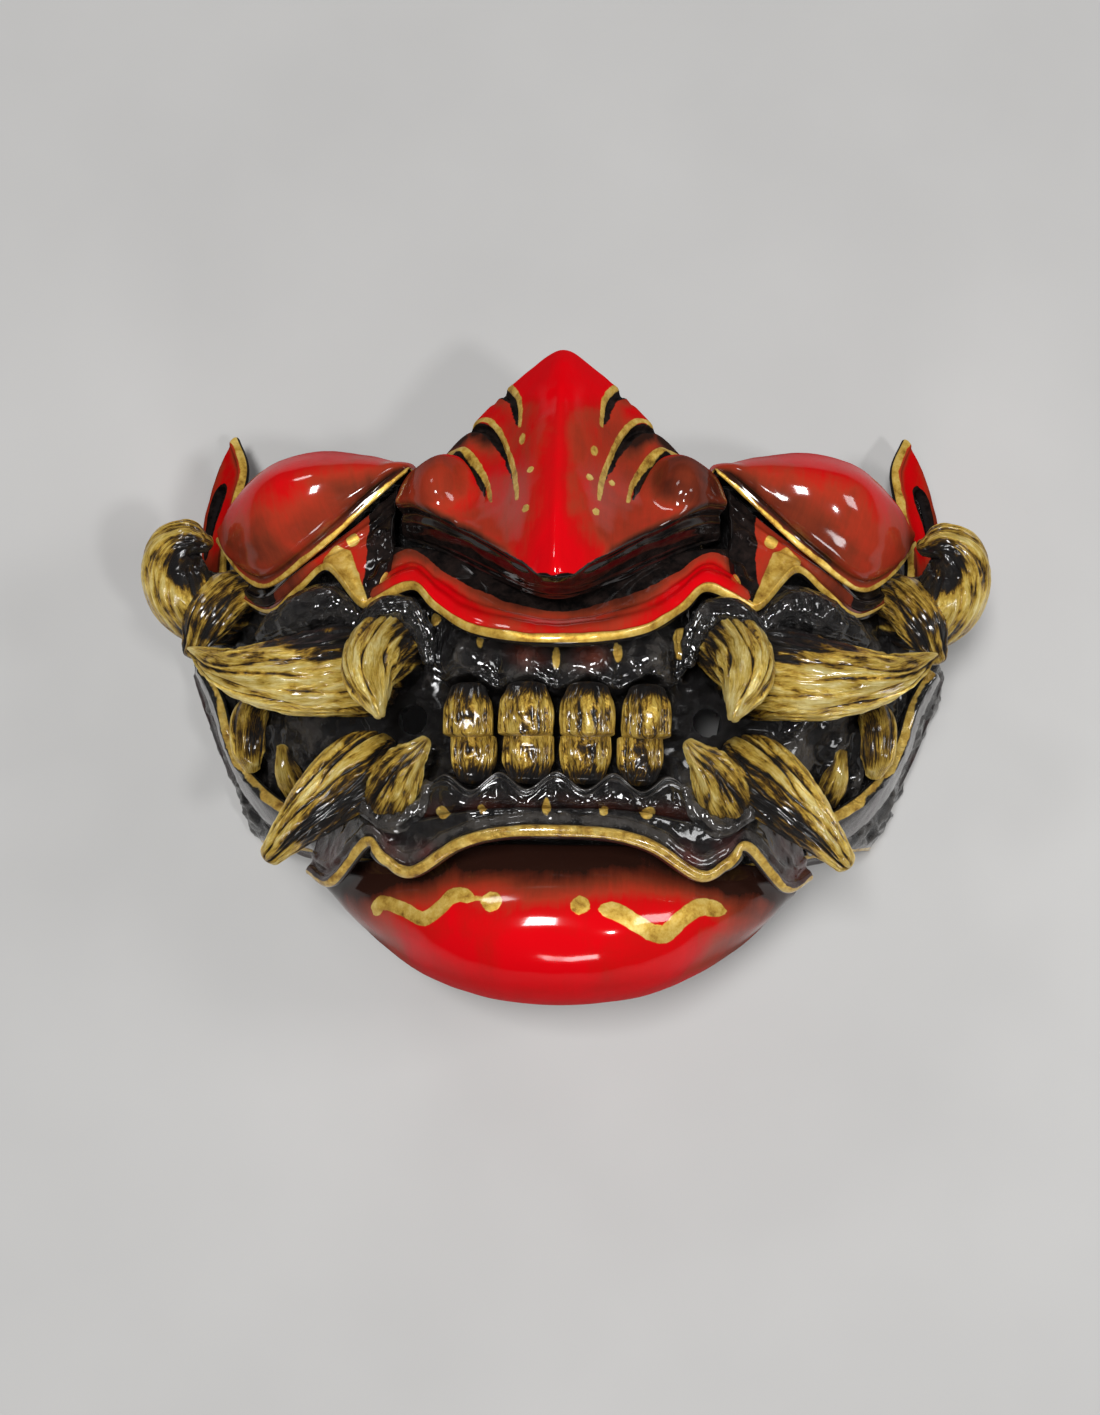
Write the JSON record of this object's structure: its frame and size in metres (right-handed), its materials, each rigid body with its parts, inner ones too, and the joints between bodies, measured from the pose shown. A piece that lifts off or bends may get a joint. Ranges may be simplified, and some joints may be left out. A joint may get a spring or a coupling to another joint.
{
  "type": "oni half mask",
  "caption": "Rigid demon half mask for the nose, cheeks and jaw, with flared plates, bared teeth, curved tusks, side horns and temple wings slotted for a strap.",
  "frame": {"origin": "on the surface that the mask lies on, under the middle of its bounding box", "axes": "+Z the way the face looks (up, as it lies on its back rim), +Y towards the brow, +X across the face; the mask is symmetric in X"},
  "size_m": [0.21, 0.155, 0.1032],
  "materials": {
    "red_lacquer": "bright red brushed paint fading to brown red towards the edges, gold painted edges, thick gloss clear coat",
    "shell_black": "black painted resin, glossy in front and satin inside",
    "gum_black": "wet-looking black gum with dark red tints and small gold marks under gloss clear coat",
    "lip_black": "black and maroon paint with a gold brushed edge under gloss clear coat",
    "tooth_gold": "gold dry-brushed over black, with streaks along the tooth, gloss clear coat",
    "tusk_gold": "gold dry-brushed over black grooves that run along the tusk, darker at the root, gloss clear coat"
  },
  "bodies": {
    "root": {"face_shell": "shell_black", "nose": "red_lacquer", "chin": "red_lacquer", "upper_lip_plate": "red_lacquer", "upper_gum": "gum_black", "lower_gum": "gum_black", "lower_lip_plate": "lip_black", "cheek_plate_left": "red_lacquer", "cheek_plate_right": "red_lacquer", "under_cheek_plate_left": "red_lacquer", "under_cheek_plate_right": "red_lacquer", "jaw_side_plate_left": "lip_black", "jaw_side_plate_right": "lip_black", "temple_wing_left": "red_lacquer", "temple_wing_right": "red_lacquer", "upper_incisor_1": "tooth_gold", "upper_incisor_2": "tooth_gold", "upper_incisor_3": "tooth_gold", "upper_incisor_4": "tooth_gold", "lower_incisor_1": "tooth_gold", "lower_incisor_2": "tooth_gold", "lower_incisor_3": "tooth_gold", "lower_incisor_4": "tooth_gold", "upper_fang_left": "tooth_gold", "upper_fang_right": "tooth_gold", "lower_fang_left": "tooth_gold", "lower_fang_right": "tooth_gold", "upper_tusk_left": "tusk_gold", "upper_tusk_right": "tusk_gold", "lower_tusk_left": "tusk_gold", "lower_tusk_right": "tusk_gold", "upper_tusk_collar_left": "gum_black", "upper_tusk_collar_right": "gum_black", "upper_fang_collar_left": "gum_black", "upper_fang_collar_right": "gum_black", "lower_fang_collar_left": "gum_black", "lower_fang_collar_right": "gum_black", "side_horn_left": "tusk_gold", "side_horn_right": "tusk_gold", "horn_spur_left": "tusk_gold", "horn_spur_right": "tusk_gold", "rear_molar_left": "tooth_gold", "rear_molar_right": "tooth_gold", "front_molar_left": "tooth_gold", "front_molar_right": "tooth_gold"}
  },
  "joints": []
}
